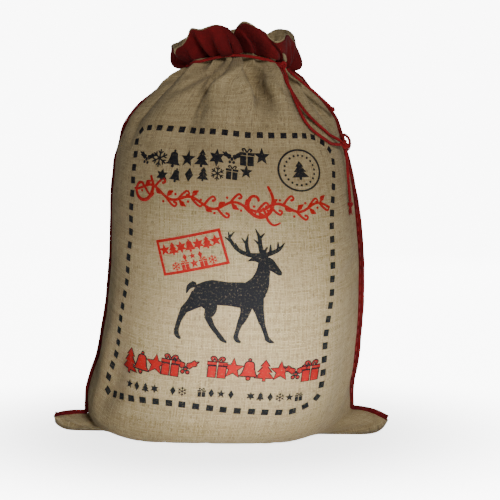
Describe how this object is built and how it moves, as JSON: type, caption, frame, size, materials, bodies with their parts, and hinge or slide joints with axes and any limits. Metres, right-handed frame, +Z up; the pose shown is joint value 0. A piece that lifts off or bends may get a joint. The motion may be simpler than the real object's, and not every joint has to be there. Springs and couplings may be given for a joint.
{
  "type": "gift sack",
  "caption": "Filled-out jute gift sack with red side bindings, a gathered neck tied by a red drawstring, and a flared frill with a red band round its mouth.",
  "frame": {"origin": "middle of the sack's overall footprint, on the floor that its base rests on", "axes": "+Z up towards the mouth, +X to the viewer's right, the printed front faces -Y"},
  "size_m": [0.4792, 0.28, 0.575],
  "materials": {
    "jute": "plain-woven jute, matt, slubby",
    "red_cloth": "dyed woven jute tape, matt",
    "red_cord": "twisted cotton cord, matt",
    "red_thread": "sewing thread",
    "black_ink": "ink printed on jute, matt",
    "red_ink": "ink printed on jute, matt"
  },
  "bodies": {
    "sack": {"sack_cloth": "jute", "side_binding_left": "red_cloth", "side_binding_right": "red_cloth", "side_stitching_left": "red_thread", "side_stitching_right": "red_thread", "frill_left": "jute", "frill_right": "jute", "mouth_band_left": "red_cloth", "mouth_band_right": "red_cloth", "neck_drawstring": "red_cord", "neck_knot": "red_cord", "upper_strand": "red_cord", "lower_strand": "red_cord", "slip_knot": "red_cord"},
    "frill_front": {"frill_front": "jute", "mouth_band_front": "red_cloth"},
    "frill_back": {"frill_back": "jute", "mouth_band_back": "red_cloth"},
    "small_loop": {"small_loop": "red_cord"},
    "long_tail": {"long_tail": "red_cord", "long_tail_knot": "red_cord", "long_tail_tuft": "red_cord"},
    "short_tail": {"short_tail": "red_cord", "short_tail_knot": "red_cord"}
  },
  "joints": [
    {"name": "frill_front_fold", "type": "hinge", "parent": "sack", "child": "frill_front", "pos_m": [0.029, -0.046, 0.533], "axis": [1, 0, 0], "range_deg": [0, 30]},
    {"name": "frill_back_fold", "type": "hinge", "parent": "sack", "child": "frill_back", "pos_m": [0.029, 0.046, 0.533], "axis": [-1, 0, 0], "range_deg": [0, 30]},
    {"name": "long_tail_lift", "type": "hinge", "parent": "sack", "child": "long_tail", "pos_m": [0.177, -0.041, 0.411], "axis": [0, -1, 0], "range_deg": [0, 80]},
    {"name": "small_loop_flop", "type": "hinge", "parent": "sack", "child": "small_loop", "pos_m": [0.177, -0.041, 0.411], "axis": [0, 0, -1], "range_deg": [0, 45]},
    {"name": "short_tail_lift", "type": "hinge", "parent": "sack", "child": "short_tail", "pos_m": [0.091, -0.047, 0.517], "axis": [-0.13, -0.9019, -0.4119], "range_deg": [0, 50]}
  ]
}
